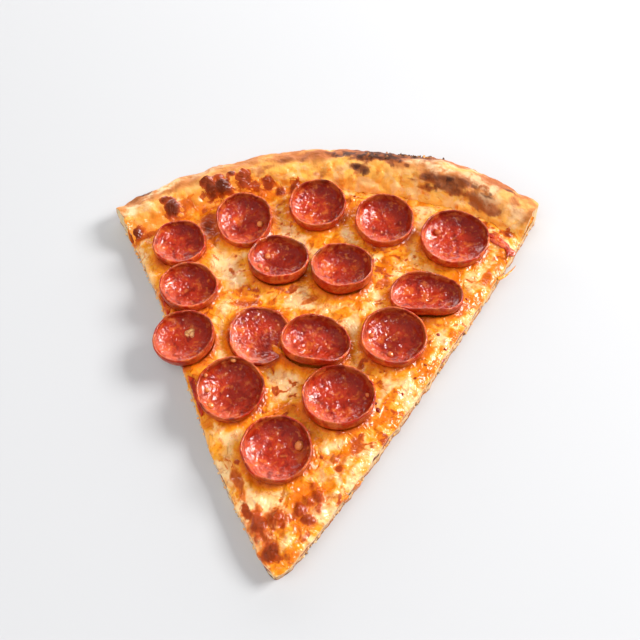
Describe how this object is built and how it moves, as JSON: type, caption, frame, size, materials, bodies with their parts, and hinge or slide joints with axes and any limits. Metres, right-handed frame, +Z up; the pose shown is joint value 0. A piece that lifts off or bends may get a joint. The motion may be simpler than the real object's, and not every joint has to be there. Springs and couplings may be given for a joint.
{
  "type": "pepperoni pizza slice",
  "caption": "Slice of baked pizza with a browned raised rim, melted cheese and pepperoni curled into cups, cut as a wedge and lying flat.",
  "frame": {"origin": "middle of the underside of the bounding box, on the surface that the slice lies on", "axes": "+Z up through the slice, +Y along its middle line from the tip to the rim, +X to the right as seen from the tip"},
  "size_m": [0.1992, 0.2102, 0.0197],
  "materials": {
    "dough": "browned, dry, floury",
    "sauce": "wet tomato",
    "cheese": "melted, oily",
    "pepperoni": "oily, crisped at the rim"
  },
  "bodies": {
    "root": {"dough": "dough", "sauce": "sauce", "cheese": "cheese", "pepperoni_cup_01": "pepperoni", "pepperoni_cup_02": "pepperoni", "pepperoni_cup_03": "pepperoni", "pepperoni_cup_04": "pepperoni", "pepperoni_cup_05": "pepperoni", "pepperoni_cup_06": "pepperoni", "pepperoni_cup_07": "pepperoni", "pepperoni_cup_08": "pepperoni", "pepperoni_cup_09": "pepperoni", "pepperoni_cup_10": "pepperoni", "pepperoni_cup_11": "pepperoni", "pepperoni_cup_12": "pepperoni", "pepperoni_cup_13": "pepperoni", "pepperoni_cup_14": "pepperoni", "pepperoni_cup_15": "pepperoni", "pepperoni_cup_16": "pepperoni", "pepperoni_offcut_1": "pepperoni", "pepperoni_offcut_2": "pepperoni", "pepperoni_offcut_3": "pepperoni"}
  },
  "joints": []
}
